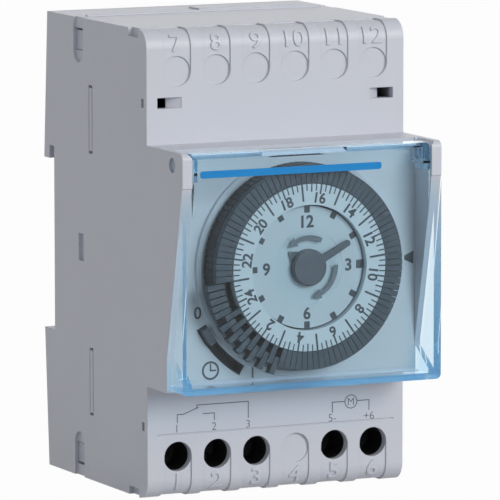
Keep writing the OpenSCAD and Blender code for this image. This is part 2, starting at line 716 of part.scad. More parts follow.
module hour_hand() color([0.85, 0.87, 0.88]) translate([0, 0, mid_z])
    forward(hour_hand_depth, hour_hand_depth + hand_t) difference() {
        union() {
            circle(hub_r);
            rotate(hour_a) polygon([[1, -1.6], [hub_r, -1.15], [hour_len, -0.2], [hour_len, 0.2],
                [hub_r, 1.15], [1, 1.6]]);
        }
        circle(pipe_r);
    }

module hour_wheel() color([0.80, 0.66, 0.35]) translate([0, 0, mid_z]) difference() {
    union() {
        rod(0, 0, pipe_r, hour_gear[0], hour_hand_depth + hand_t);
        wheel(hour_z[0], dial_m, mate(0, idler_z[1], hour_z[0], 30), idler_gear[0], idler_gear[1]);
        wheel(hour_z[1], dial_m, 0, hour_gear[0], hour_gear[1]);
        rod(0, 0, 2.4, hour_gear[0], idler_gear[1]);
    }
    rod(0, 0, pipe_bore, hour_gear[0] - 1, dial_depth);
}

module minute_hand() color([0.88, 0.90, 0.90]) translate([0, 0, mid_z]) difference() {
    union() {
        forward(minute_depth, minute_depth + 0.35) {
            circle(hub_r);
            rotate(minute_a) polygon([[0, -0.75], [minute_len - 0.3, -0.6], [minute_len, -0.3],
                [minute_len, 0.3], [minute_len - 0.3, 0.6], [0, 0.75]]);
        }
        rod(0, 0, hub_r - 0.25, minute_depth, minute_depth + 0.6);
    }
    rod(0, 0, arbor_r, minute_depth - 1, minute_depth + 0.35);
}

module setting_disc() color([0.75, 0.80, 0.82, 0.5]) translate([0, 0, mid_z])
    forward(disc_depth, disc_depth + disc_t) difference() {
        circle(disc_r);
        circle(arbor_r);
    }

module minute_arbor() color([0.75, 0.75, 0.72]) translate([0, 0, mid_z]) difference() {
    union() {
        rod(0, 0, arbor_r, minute_gear[0] - 0.2, minute_depth + 0.35);
        wheel(cannon_z, dial_m, mate(0, minute_z[1], cannon_z, -90), minute_gear[0], minute_gear[1]);
    }
    rod(0, 0, 0.42, minute_gear[0] - 1, minute_gear[0] + 1.6);
}

/* Wheels of the motion work and of the clock train */
idler_at = polar((dial_z + idler_z[0])*dial_m/2, 210);
minute_at = polar((minute_z[1] + cannon_z)*dial_m/2, 90);
train_pinion = 8;
centre_z = 64;
third_z = 60;
seconds_z = 48;
first_z = 40;
third_a = 40;
seconds_a = -63.65;
first_a = -85;
function train_c(z) = (z + train_pinion)*train_m/2;
third_at = polar(train_c(centre_z), third_a);
seconds_at = third_at + polar(train_c(third_z), seconds_a);
first_at = seconds_at + polar(train_c(seconds_z), first_a);
rotor_at = first_at + polar(train_c(first_z), 180);
pivot_gap = 0.05;
idler_r = 1.1;
plate_bore = pivot_r + pivot_gap;
rear_face = rear_plate_depth + move_t;

// Arbor between the plates with a pivot at each end
module arbor(at, r) translate([at[0], 0, mid_z + at[1]]) {
    rod(0, 0, r, rear_face + 0.1, front_plate_depth - 0.1);
    rod(0, 0, pivot_r, rear_plate_depth + 0.2, front_plate_depth + move_t - 0.2);
}

// Train wheel with its pinion
module train_wheel(at, z, turn, d, pinion_turn, pinion_d) {
    translate([at[0], 0, mid_z + at[1]]) {
        wheel(z, train_m, turn, d, d + 0.6);
        wheel(train_pinion, train_m, pinion_turn, pinion_d - 0.1, pinion_d + 0.7);
    }
    arbor(at, 0.65);
}

module minute_wheel() color([0.80, 0.66, 0.35]) translate([minute_at[0], 0,
    mid_z + minute_at[1]]) difference() {
    union() {
        wheel(minute_z[1], dial_m, 0, minute_gear[0], minute_gear[1]);
        wheel(minute_z[0], dial_m, mate(0, hour_z[1], minute_z[0], 90), minute_gear[1] - 0.1,
            hour_gear[1] + 0.1);
    }
    rod(0, 0, plate_bore, minute_gear[0] - 1, hour_gear[1] + 1);
}

module dial_idler() color([0.85, 0.83, 0.76]) translate([idler_at[0], 0, mid_z + idler_at[1]]) {
    wheel(idler_z[0], dial_m, mate(0, dial_z, idler_z[0], 210), dial_gear[0], dial_gear[1]);
    wheel(idler_z[1], dial_m, 0, idler_gear[0], idler_gear[1]);
    rod(0, 0, idler_r, idler_gear[0], dial_gear[1]);
}

layer = [for (k = [0:3]) rear_face + 5.9 - 1.2*k];

module centre_wheel() color([0.80, 0.66, 0.35]) translate([0, 0, mid_z]) {
    wheel(centre_z, train_m, 0, layer[0], layer[0] + 0.6);
    rod(0, 0, 0.65, rear_face + 0.1, minute_gear[0] - 0.3);
    rod(0, 0, pivot_r, rear_plate_depth + 0.2, rear_face + 0.2);
    rod(0, 0, 0.36, layer[0], minute_gear[0] + 1.4);
}

module third_wheel() color([0.80, 0.66, 0.35])
    train_wheel(third_at, third_z, 0, layer[1], mate(0, centre_z, train_pinion, third_a), layer[0]);

module seconds_wheel() color([0.85, 0.83, 0.76])
    train_wheel(seconds_at, seconds_z, 0, layer[2], mate(0, third_z, train_pinion, seconds_a), layer[1]);

module first_wheel() color([0.85, 0.83, 0.76])
    train_wheel(first_at, first_z, 0, layer[3], mate(0, seconds_z, train_pinion, first_a), layer[2]);

magnet_r = 2.4;
stator_t = 1.1;
module rotor() color([0.25, 0.25, 0.28]) {
    translate([rotor_at[0], 0, mid_z + rotor_at[1]]) {
        rod(0, 0, magnet_r, rear_face + 0.2, rear_face + stator_t);
        wheel(train_pinion, train_m, mate(0, first_z, train_pinion, 180), rear_face + stator_t - 0.1,
            layer[3] + 0.7);
    }
    arbor(rotor_at, 0.6);
}

/* Movement frame */
frame_x = [-15, inner_x - 3.5];
frame_z = [mid_z - 19.8, mid_z + 17.5];
pillar_r = 1.5;
pillar_in = 2.2;
pillars = [[frame_x[0] + 2, frame_z[1] - pillar_in], [frame_x[1] - pillar_in, frame_z[1] - pillar_in],
    [frame_x[1] - pillar_in, frame_z[0] + pillar_in], [frame_x[0] + 2, mid_z - 8]];
feeler_at = [4 - inner_x, mid_z - 3.5];
feeler_r = 1;

module movement_outline() {
    translate([frame_x[0], frame_z[0]]) square([frame_x[1] - frame_x[0], frame_z[1] - frame_z[0]]);
    translate([feeler_at[0], feeler_at[1] - 2.4]) square([frame_x[0] - feeler_at[0] + 1, 4.8]);
    translate(feeler_at) circle(2.4);
}

module train_bores(d0, d1) {
    for (at = [third_at, seconds_at, first_at, rotor_at]) rod(at[0], mid_z + at[1], plate_bore, d0, d1);
    rod(feeler_at[0], feeler_at[1], feeler_r + pivot_gap, d0, d1);
}

module front_movement_plate() color([0.82, 0.80, 0.74]) {
    difference() {
        forward(front_plate_depth, front_plate_depth + move_t) movement_outline();
        train_bores(front_plate_depth - 1, front_plate_depth + 3);
        rod(0, mid_z, tube_r, front_plate_depth - 1, front_plate_depth + 3);
        rod(idler_at[0], mid_z + idler_at[1], idler_r + pivot_gap, front_plate_depth - 1,
            front_plate_depth + 3);
    }
    // post of the minute wheel
    rod(minute_at[0], mid_z + minute_at[1], pivot_r, minute_gear[0] - 0.3, front_plate_depth + 0.5);
}

coil_z = frame_z[0] + 1.7;
coil_half = 8;
coil_r = 3.2;
coil_room = 0.25;
core_depth = rear_face + stator_t/2;

module rear_movement_plate() color([0.82, 0.80, 0.74]) difference() {
    forward(rear_plate_depth, rear_face) movement_outline();
    train_bores(rear_plate_depth - 1, rear_face + 1);
    rod(0, mid_z, plate_bore, rear_plate_depth - 1, rear_face + 1);
    for (p = pillars) rod(p[0], p[1], pillar_r, rear_plate_depth - 1, rear_face + 1);
    block(-coil_half - 0.2, coil_half + 0.2, rear_plate_depth - 1, rear_face + 1,
        coil_z - coil_r - 0.2, coil_z + coil_r + 0.2);
}

module movement_pillars() color([0.75, 0.75, 0.72])
    for (p = pillars) rod(p[0], p[1], pillar_r, board_depth + board_t, front_plate_depth);

module stator() color([0.60, 0.62, 0.65]) {
    // core through the coil
    block(-coil_half - 3, coil_half + 3, rear_face, rear_face + stator_t, coil_z - 1, coil_z + 1);
    difference() {
        union() {
            for (s = [-1, 1]) block(s > 0 ? coil_half + 0.6 : -coil_half - 3,
                s > 0 ? coil_half + 3 : -coil_half - 0.6,
                rear_face, rear_face + stator_t, coil_z - 1, mid_z + rotor_at[1] + 1.6);
            block(-coil_half - 3, coil_half + 3, rear_face, rear_face + stator_t,
                mid_z + rotor_at[1] - 1.6, mid_z + rotor_at[1] + 1.6);
            rod(rotor_at[0], mid_z + rotor_at[1], magnet_r + 1.9, rear_face, rear_face + stator_t);
        }
        rod(rotor_at[0], mid_z + rotor_at[1], magnet_r + 0.3, rear_face - 1, rear_face + 3);
    }
}

module coil_bobbin() color([0.15, 0.15, 0.16]) difference() {
    union() {
        for (x = [-coil_half, coil_half - 0.7]) block(x, x + 0.7, core_depth - coil_r, core_depth + coil_r,
            coil_z - coil_r, coil_z + coil_r);
        bar_x(-core_depth, coil_z, 1.8, -coil_half, coil_half);
    }
    block(-20, 20, rear_face, rear_face + stator_t, coil_z - 1, coil_z + 1);
}

module coil_winding() color([0.72, 0.42, 0.20]) difference() {
    bar_x(-core_depth, coil_z, coil_r - 0.3, -coil_half + 0.7, coil_half - 0.7);
    bar_x(-core_depth, coil_z, 1.8, -coil_half, coil_half);
}

/* Circuit board */
board_x = inner_x - 2.5;
board_z = [screw_z + 10.5, top_z - 5.3];
board_face = board_depth + board_t;

module circuit_board() color([0.12, 0.38, 0.22]) difference() {
    block(-board_x, board_x, board_depth, board_face, board_z[0], board_z[1]);
    for (x = [-17, 17]) block(x - 1.6, x + 1.6, board_depth - 1, board_face + 1, board_z[1] - 2,
        board_z[1] + 1);
}

can_r = 1.5;
module quartz_can() color([0.80, 0.80, 0.82]) translate([board_x - 9, -board_face - can_r, board_z[1] - 20]) {
    cylinder(r = can_r, h = 6.2);
    difference() {
        cylinder(r = can_r + 0.2, h = 0.5);
        translate([-3, can_r - 0.02, -1]) cube([6, 1, 2]);
    }
    for (x = [-0.6, 0.6]) {
        translate([x - 0.15, -0.15, -1.6]) cube([0.3, 0.3, 1.7]);
        translate([x - 0.15, -0.15, -1.6]) cube([0.3, 1.63, 0.3]);
    }
}

module capacitor() color([0.18, 0.22, 0.30]) {
    can_x = board_x - 12;
    can_z = board_z[1] - 8;
    can_front = shoulder_depth - shell_wall - 2.4;
    difference() {
        rod(can_x, can_z, 5, board_face, can_front);
        for (a = [0, 90]) translate([can_x, 0, can_z]) rotate([0, a, 0])
            block(-3, 3, can_front - 0.2, can_front + 1, -0.15, 0.15);
        forward(board_face + 1.4, board_face + 2) translate([can_x, can_z]) difference() {
            circle(6);
            circle(4.6);
        }
    }
}

module board_chips() color([0.12, 0.12, 0.13]) {
    block(2, 7.5, board_face, board_face + 1.6, mid_z - 9.5, mid_z - 0.5);
    block(9.5, 15.5, board_face, board_face + 1.3, mid_z - 5.5, mid_z + 0.5);
    block(-10, -3, board_face, board_face + 7, board_z[1] - 14, board_z[1] - 3);
    for (k = [0:3]) block(-8 + 3*k, -6.4 + 3*k, board_face, board_face + 0.6, mid_z + 8.5, mid_z + 9.9);
    block(-18, -13, board_face, board_face + 3.4, board_z[1] - 18, board_z[1] - 7);
}

/* Changeover switch at the lower left */
frame_t = 1.4;
blade_x = 5.2 - inner_x;
blade_pivot = screw_z + 12.5;
blade_top = feeler_at[1] - 8.2;
button_z = blade_top - 2.8;
button_r = 1;
contact_depth = bus_depth + 1.3;
blade_depth = [contact_depth - 1.5, contact_depth + 1.5];
bridge_depth = contact_depth + 3.5;
bridge_t = 0.8;
arm_depth = contact_depth - 0.5;

// Strap round a terminal: seat of the screw's head, side leg and bus bar inside the cage
module terminal_strap(i) translate([term_x(i), 0, 0]) {
    difference() {
        block(-3, 3, strap_depth, tunnel_depth, screw_z - 3.4, screw_z + 5.2);
        rod(0, screw_z, 1.8, 30, 40);
    }
    block(-2.3, 2.3, bus_depth, tunnel_depth, screw_z + 4.4, screw_z + 5.2);
    block(-2.3, 2.3, bus_depth, bus_depth + bus_t, screw_z - 3.4, screw_z + 5.2);
}

module common_bar() color([0.80, 0.55, 0.35]) {
    terminal_strap(1);
    block(blade_x - 1, blade_x + 1, blade_depth[1] + 0.3, blade_depth[1] + 1.1, screw_z + 4.6,
        blade_pivot + 1);
    rod(blade_x, blade_pivot, 0.8, board_face + frame_t, blade_depth[1] + 1.1);
}

module break_contact() color([0.80, 0.55, 0.35]) {
    terminal_strap(2);
    foot_x = term_x(2);
    post = blade_x + 3.1;
    block(foot_x - 0.9, foot_x + 0.9, bus_depth, bus_depth + bus_t, screw_z + 4.6, button_z + 1.2);
    block(post, foot_x + 0.9, bus_depth, bus_depth + bus_t, button_z - 1.2, button_z + 1.2);
    block(post, post + 0.8, bus_depth, contact_depth + 1.2, button_z - 1.2, button_z + 1.2);
    bar_x(-contact_depth, button_z, button_r, post - 0.75, post + 0.2);
}

module make_contact() color([0.80, 0.55, 0.35]) {
    terminal_strap(3);
    foot_x = term_x(3);
    rail_x = blade_x - 3.6;
    run_z = blade_pivot - 3.8;
    front = bridge_depth + bridge_t;
    block(foot_x - 0.95, foot_x + 0.95, bridge_depth, front, screw_z + 4.6, run_z);
    block(rail_x, foot_x + 0.95, bridge_depth, front, run_z - 1.4, run_z);
    block(rail_x, rail_x + 1.1, bridge_depth, front, run_z - 1.4, button_z + 1.2);
    block(rail_x, rail_x + 1.1, contact_depth - 1.2, front, button_z - 1.2, button_z + 1.2);
    bar_x(-contact_depth, button_z, button_r, rail_x + 0.9, rail_x + 2.75);
}

module moving_blade() color([0.85, 0.70, 0.45]) difference() {
    union() {
        block(blade_x - 0.2, blade_x + 0.2, blade_depth[0], blade_depth[1], blade_pivot + 1, blade_top);
        rod(blade_x, blade_pivot, 1.4, blade_depth[0], blade_depth[1]);
        bar_x(-contact_depth, button_z, button_r, blade_x - 0.8, blade_x + 0.8);
    }
    rod(blade_x, blade_pivot, 0.8 + run_gap, blade_depth[0] - 1, blade_depth[1] + 1);
}

module switch_frame() color([0.20, 0.20, 0.22]) {
    low = blade_pivot - 1.8;
    high = button_z + 3.5;
    block(blade_x - 4.1, blade_x + 9.3, board_face, board_face + frame_t, low, high);
    block(blade_x + 4.3, blade_x + 9.1, board_face + frame_t - 0.1, bus_depth, blade_pivot + 4,
        blade_pivot + 7);
    block(blade_x - 4.9, blade_x - 3.9, board_face, bridge_depth + 0.6, low, high);
}

module feeler_shaft() color([0.88, 0.88, 0.84]) {
    tip = [0, mid_z] + polar(feel_r1 - 0.9, feel_a);
    arm = tip - feeler_at;
    a = atan2(arm[1], arm[0]);
    lever = [front_plate_depth + move_t + 0.5, front_plate_depth + move_t + 1.6];
    rod(feeler_at[0], feeler_at[1], feeler_r, arm_depth, lever[1]);
    translate([feeler_at[0], 0, feeler_at[1]]) forward(lever[0], lever[1]) {
        circle(1.9);
        rotate(a) translate([0, -0.8]) square([norm(arm), 1.6]);
    }
    rod(tip[0], tip[1], 0.6, lever[0], plate_depth + 0.1);
    rod(tip[0], tip[1], 0.8, lever[0], lever[1]);
    translate([feeler_at[0], 0, feeler_at[1]]) forward(arm_depth, arm_depth + 1) {
        circle(1.9);
        translate([-0.6, blade_top - 1.1 - feeler_at[1]]) square([1.2, 9]);
    }
}

module supply_bars() color([0.80, 0.55, 0.35]) for (i = [5, 6]) {
    terminal_strap(i);
    block(term_x(i) - 1, term_x(i) + 1, bus_depth, bus_depth + bus_t, screw_z + 4.6, board_z[0] + 1.6);
    block(term_x(i) - 1, term_x(i) + 1, board_face, bus_depth + bus_t, board_z[0] + 0.6, board_z[0] + 1.6);
}

// Black shroud behind the shoulder: a web with a tube over each clamp's screw
module terminal_shroud() color([0.10, 0.10, 0.11]) difference() {
    union() {
        for (i = live) rod(term_x(i), screw_z, tunnel_r + tunnel_wall, shroud_back, shroud_front);
        block(term_x(1), term_x(6), shroud_front - 1.4, shroud_front, screw_z - 2.4, screw_z + 2.4);
    }
    for (i = live) rod(term_x(i), screw_z, tunnel_r, shroud_back - 1, shroud_front + 1);
}

/* Terminal screws and clamping cages */
shank_r = 1.7;
head_r = screw_bore/2 - 0.3;
module terminal_screw(i) color([0.78, 0.78, 0.80]) difference() {
    union() {
        rod(term_x(i), screw_z, head_r, tunnel_depth, tunnel_depth + 1.8);
        rod(term_x(i), screw_z, shank_r, bus_depth + bus_t + 0.15, tunnel_depth + 0.1);
    }
    translate([term_x(i), 0, screw_z]) rotate([0, 25*i, 0])
        block(-4, 4, tunnel_depth + 0.9, tunnel_depth + 3, -0.4, 0.4);
}
module terminal_screw_1() terminal_screw(1);
module terminal_screw_2() terminal_screw(2);
module terminal_screw_3() terminal_screw(3);
module terminal_screw_5() terminal_screw(5);
module terminal_screw_6() terminal_screw(6);

module clamp_cage(i) color([0.70, 0.70, 0.66]) difference() {
    back = bus_depth - cage_gap - cage_wall;
    block(term_x(i) - 3.3, term_x(i) + 3.3, back, cage_front + cage_wall, screw_z - 4, screw_z + 4);
    block(term_x(i) - 2.6, term_x(i) + 2.6, back + cage_wall, cage_front, screw_z - 5, screw_z + 5);
    rod(term_x(i), screw_z, shank_r + 0.06, cage_front - 1, cage_front + 3);
}
module clamp_cage_1() clamp_cage(1);
module clamp_cage_2() clamp_cage(2);
module clamp_cage_3() clamp_cage(3);
module clamp_cage_5() clamp_cage(5);
module clamp_cage_6() clamp_cage(6);

front_casing();
rear_base();
rail_clip();
clip_spring();
face_plate();
cover();
override_slider();
tappet_drum();
hour_ring();
tappets_in();
tappets_out();
tappet_1();
tappet_2();
tappet_3();
tappet_4();
tappet_5();
tappet_6();
tappet_7();
override_guide();
clock_face();
hour_hand();
hour_wheel();
minute_hand();
setting_disc();
minute_arbor();
minute_wheel();
dial_idler();
front_movement_plate();
rear_movement_plate();
movement_pillars();
centre_wheel();
third_wheel();
seconds_wheel();
first_wheel();
rotor();
stator();
coil_bobbin();
coil_winding();
circuit_board();
quartz_can();
capacitor();
board_chips();
switch_frame();
moving_blade();
common_bar();
break_contact();
make_contact();
feeler_shaft();
supply_bars();
terminal_shroud();
terminal_screw_1();
terminal_screw_2();
terminal_screw_3();
terminal_screw_5();
terminal_screw_6();
clamp_cage_1();
clamp_cage_2();
clamp_cage_3();
clamp_cage_5();
clamp_cage_6();
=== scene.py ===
import json
import math
import bpy
from mathutils import Matrix, Vector


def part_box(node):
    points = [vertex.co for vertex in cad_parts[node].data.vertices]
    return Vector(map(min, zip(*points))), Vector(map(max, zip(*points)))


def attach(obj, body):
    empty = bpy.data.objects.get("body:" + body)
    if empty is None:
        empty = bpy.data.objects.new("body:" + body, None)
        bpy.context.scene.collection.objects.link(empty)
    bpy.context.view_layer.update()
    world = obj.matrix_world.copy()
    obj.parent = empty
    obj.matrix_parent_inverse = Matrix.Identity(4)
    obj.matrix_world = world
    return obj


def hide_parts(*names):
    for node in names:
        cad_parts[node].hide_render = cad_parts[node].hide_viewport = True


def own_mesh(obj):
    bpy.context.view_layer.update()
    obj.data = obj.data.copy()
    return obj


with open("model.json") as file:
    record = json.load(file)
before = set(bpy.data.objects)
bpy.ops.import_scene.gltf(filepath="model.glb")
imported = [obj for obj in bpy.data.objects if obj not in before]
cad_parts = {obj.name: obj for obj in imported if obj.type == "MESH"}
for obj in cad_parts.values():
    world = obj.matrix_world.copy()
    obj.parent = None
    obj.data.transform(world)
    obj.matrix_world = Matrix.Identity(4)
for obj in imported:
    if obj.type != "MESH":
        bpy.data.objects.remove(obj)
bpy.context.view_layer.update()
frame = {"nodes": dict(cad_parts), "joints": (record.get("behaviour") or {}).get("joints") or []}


# Rear base, rail clip and its spring. The base is one injection moulding in
# light grey plastic; the dark clip slides in its guide and a coil of steel
# wire pushes it up behind the lower edge of the rail.
mm = 0.001
joints = {joint["name"]: joint for joint in frame["joints"]}


def shade(r, g, b):
    """Linear colour of a paint given as it looks, 0 to 255."""
    return tuple(((c / 255 + 0.055) / 1.055) ** 2.4 for c in (r, g, b)) + (1,)


def bare_material(name):
    """New material with its shader and the place on the piece."""
    made = bpy.data.materials.new(name)
    made.use_nodes = True
    tree, links = made.node_tree.nodes, made.node_tree.links
    place = tree.new("ShaderNodeTexCoord").outputs["Object"]
    return made, tree, links, tree["Principled BSDF"], place


def put(tree, kind, **settings):
    """Adds a shader node and sets its sockets by name, with _ for a blank."""
    added = tree.new("ShaderNode" + kind)
    for socket, value in settings.items():
        added.inputs[socket.replace("_", " ")].default_value = value
    return added


def between(tree, links, share, first, second):
    """Colour between two, each of them a plain colour or an output."""
    mixed = tree.new("ShaderNodeMix")
    mixed.data_type = "RGBA"
    links.new(share, mixed.inputs["Factor"])
    for socket, colour in (("A", first), ("B", second)):
        if isinstance(colour, tuple):
            mixed.inputs[socket].default_value = colour
        else:
            links.new(colour, mixed.inputs[socket])
    return mixed.outputs["Result"]


def tone(tree, links, place, colour, spread, scale):
    """Colour that drifts a little over the moulding, as pigment does."""
    flow = put(tree, "TexNoise", Scale=scale, Detail=4)
    links.new(place, flow.inputs["Vector"])
    darker = tuple(c * (1 - spread) for c in colour[:3]) + (1,)
    lighter = tuple(min(1, c * (1 + spread)) for c in colour[:3]) + (1,)
    return between(tree, links, flow.outputs["Fac"], darker, lighter)


def uneven_gloss(tree, links, surface, pattern, low, high):
    """Roughness that follows a pattern between two values."""
    gloss = put(tree, "MapRange", To_Min=low, To_Max=high)
    links.new(pattern, gloss.inputs["Value"])
    links.new(gloss.outputs["Result"], surface.inputs["Roughness"])


def pitted(tree, links, surface, pattern, strength, depth):
    """Relief of a pattern on a surface."""
    relief = put(tree, "Bump", Strength=strength, Distance=depth)
    links.new(pattern, relief.inputs["Height"])
    links.new(relief.outputs["Normal"], surface.inputs["Normal"])
    return relief


def moulding(name, colour, rough=0.45, spread=0.04, grain=0.12, edge=0.18 * mm):
    """Moulded plastic: faint pigment drift, spark-eroded grain, soft arrises."""
    drift_scale = 70
    pore_scale, pore_depth = 5200, 0.04 * mm
    gloss_swing = 0.06
    made, tree, links, surface, place = bare_material(name)
    links.new(tone(tree, links, place, colour, spread, drift_scale), surface.inputs["Base Color"])
    pores = put(tree, "TexNoise", Scale=pore_scale, Detail=3)
    links.new(place, pores.inputs["Vector"])
    uneven_gloss(tree, links, surface, pores.outputs["Fac"], rough - gloss_swing, rough + gloss_swing)
    relief = pitted(tree, links, surface, pores.outputs["Fac"], grain, pore_depth)
    arris = put(tree, "Bevel", Radius=edge)
    arris.samples = 4
    links.new(arris.outputs["Normal"], relief.inputs["Normal"])
    return made


def metal(name, colour, rough=0.3, spread=0.08, stretch=(1, 1, 1)):
    """Drawn, stamped or turned metal: fine scratches along the grain."""
    drift_scale = 400
    scratch_scale = 3000
    scratch_strength, scratch_depth = 0.1, 0.03 * mm
    shinier, duller = rough - 0.1, rough + 0.12
    made, tree, links, surface, place = bare_material(name)
    surface.inputs["Metallic"].default_value = 1
    links.new(tone(tree, links, place, colour, spread, drift_scale), surface.inputs["Base Color"])
    along = put(tree, "Mapping", Scale=stretch)
    links.new(place, along.inputs["Vector"])
    scratch = put(tree, "TexNoise", Scale=scratch_scale)
    links.new(along.outputs["Vector"], scratch.inputs["Vector"])
    uneven_gloss(tree, links, surface, scratch.outputs["Fac"], shinier, duller)
    pitted(tree, links, surface, scratch.outputs["Fac"], scratch_strength, scratch_depth)
    return made


def finish(material, *names):
    """Gives CAD nodes their material."""
    for name in names:
        for slot in frame["nodes"][name].material_slots:
            slot.material = material


def settle(piece, at=(0, 0, 0), turn=0.0, size=(1, 1, 1)):
    """Puts a piece at its place, turned about the depth, and applies that."""
    bpy.ops.object.select_all(action="DESELECT")
    piece.select_set(True)
    bpy.context.view_layer.objects.active = piece
    piece.location, piece.rotation_euler, piece.scale = at, (0, -turn, 0), size
    bpy.ops.object.transform_apply(location=True, rotation=True, scale=True)
    return piece


def dress(piece, material, body):
    """Finishes a new piece and lets it ride on a body."""
    piece.data.materials.clear()
    piece.data.materials.append(material)
    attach(piece, body)


def middle(node):
    """Middle of a CAD node's box."""
    low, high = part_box(node)
    return (low + high) / 2


finish(moulding("base plastic", shade(196, 199, 208)), "rear_base")
finish(moulding("clip plastic", shade(86, 90, 96), rough=0.4), "rail_clip")
spring_metal = metal("spring wire", shade(196, 198, 202), rough=0.25)
finish(spring_metal, "clip_spring")
wire_r = 0.25 * mm
wire_sides = 10
spring_turns = 7
steps_a_turn = 28
spring_low, spring_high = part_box("clip_spring")
coil_r = (spring_high.x - spring_low.x) / 2 - wire_r
coil_h = spring_high.z - spring_low.z
bpy.ops.object.select_all(action="DESELECT")
bpy.ops.mesh.primitive_circle_add(vertices=wire_sides, radius=wire_r, location=(0, 0, 0),
                                  rotation=(math.pi / 2, 0, 0))
coil = bpy.context.object
coil.name = "coil_spring"
bpy.ops.object.transform_apply(location=True, rotation=True, scale=True)
settle(coil, (coil_r, 0, 0))
winding = coil.modifiers.new("winding", "SCREW")
winding.axis = "Z"
winding.screw_offset = (coil_h - 2 * wire_r) / spring_turns
winding.iterations = spring_turns
winding.steps = winding.render_steps = steps_a_turn
bpy.ops.object.modifier_apply(modifier=winding.name)
settle(coil, (middle("clip_spring").x, middle("clip_spring").y, spring_low.z + wire_r))
bpy.ops.object.mode_set(mode="EDIT")
bpy.ops.mesh.select_all(action="SELECT")
bpy.ops.mesh.fill_holes(sides=wire_sides)
bpy.ops.mesh.select_all(action="SELECT")
bpy.ops.mesh.normals_make_consistent(inside=False)
bpy.ops.object.mode_set(mode="OBJECT")
bpy.ops.object.shade_smooth_by_angle(angle=math.radians(40))
dress(coil, spring_metal, "housing")
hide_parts("clip_spring")
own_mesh(coil)

# Circuit board with the quartz can, the electrolytic and a few packages. The
# board is green glass-fibre laminate and rests on four posts of the base.
finish(moulding("laminate", shade(28, 92, 58), rough=0.3, spread=0.15, grain=0.3), "circuit_board")
finish(metal("plated can", shade(214, 214, 216), rough=0.2), "quartz_can")
finish(moulding("shrink sleeve", shade(38, 46, 70), rough=0.25), "capacitor")
finish(moulding("package resin", shade(34, 34, 36), rough=0.5), "board_chips")

# Changeover switch: a dark moulding carries stamped copper-alloy contacts,
# and a spring-bronze blade is tipped between them by the feeler.
finish(moulding("switch resin", shade(46, 46, 50), rough=0.45), "switch_frame")
finish(metal("contact metal", shade(206, 150, 112), rough=0.3),
       "common_bar", "break_contact", "make_contact", "supply_bars")
finish(metal("spring bronze", shade(214, 176, 112), rough=0.25), "moving_blade")

# Terminals: black-chromated slotted screws pull up plated steel cages that
# clamp the wires against the bus bars.
live_terminals = (1, 2, 3, 5, 6)
finish(metal("black chromate", shade(46, 47, 50), rough=0.45),
       *["terminal_screw_%d" % i for i in live_terminals])
finish(metal("cage steel", shade(176, 176, 170), rough=0.4),
       *["clamp_cage_%d" % i for i in live_terminals])

# Movement: two moulded plates on steel pillars hold brass and acetal wheels,
# a stepping motor with its coil, and the feeler that reads the dial.
finish(moulding("acetal", shade(222, 217, 202), rough=0.35, spread=0.03, grain=0.08),
       "front_movement_plate", "rear_movement_plate", "dial_idler", "seconds_wheel",
       "first_wheel", "feeler_shaft")
finish(metal("wheel brass", shade(214, 182, 104), rough=0.25, spread=0.06),
       "hour_wheel", "minute_wheel", "centre_wheel", "third_wheel")
finish(metal("turned steel", shade(188, 188, 190), rough=0.25), "movement_pillars", "minute_arbor")
finish(metal("stator sheet", shade(150, 153, 158), rough=0.4), "stator")
finish(moulding("bobbin resin", shade(36, 36, 40), rough=0.4), "coil_bobbin", "rotor")
finish(metal("enamelled copper", shade(184, 104, 52), rough=0.25, spread=0.1, stretch=(1, 0.05, 0.05)),
       "coil_winding")

# Front casing: one grey injection moulding with a fine spark-eroded grain. The
# terminal numbers are raised in their channels and follow the rounded edge.
casing_grey = shade(206, 208, 216)
finish(moulding("casing plastic", casing_grey, rough=0.42, spread=0.025, grain=0.16), "front_casing")
positions = 6
pitch = (middle("terminal_screw_6").x - middle("terminal_screw_1").x) / (positions - 1)
shoulder = 42.8 * mm
channel = 0.3 * mm
edge_r = 3.5 * mm
number_h = 3.2 * mm
number_t = 0.28 * mm
number_widened = 1.15
casing_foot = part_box("front_casing")[0].z
# Above, the numbers 7 to 12 run up over the top edge; below, 1 to 6 run down
# over the bottom edge. Of each, a part stays on the flat of the shoulder.
edge_start = {"up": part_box("rear_base")[1].z - edge_r, "down": casing_foot + edge_r}
number_flat = {"up": 0.7 * mm, "down": 1.0 * mm}


def letters(name, words, height, thick, weight=0.0, arris=0.0):
    """Characters standing round the origin, facing the user, as a mesh."""
    any_depth = 0.02
    bpy.ops.object.select_all(action="DESELECT")
    bpy.ops.object.text_add(location=(0, 0, 0), rotation=(math.pi / 2, 0, 0))
    piece = bpy.context.object
    piece.name = name
    piece.data.body = words
    piece.data.resolution_u = 6
    piece.data.offset = weight - arris
    piece.data.extrude = any_depth
    piece.data.bevel_depth = arris
    piece.data.bevel_resolution = 1 if arris else 0
    bpy.ops.object.convert(target="MESH")
    piece = bpy.context.object
    bpy.ops.object.transform_apply(location=True, rotation=True, scale=True)
    bpy.ops.object.origin_set(type="ORIGIN_GEOMETRY", center="BOUNDS")
    wide, deep, tall = piece.dimensions
    return settle(piece, size=(height / tall, thick / deep, height / tall))


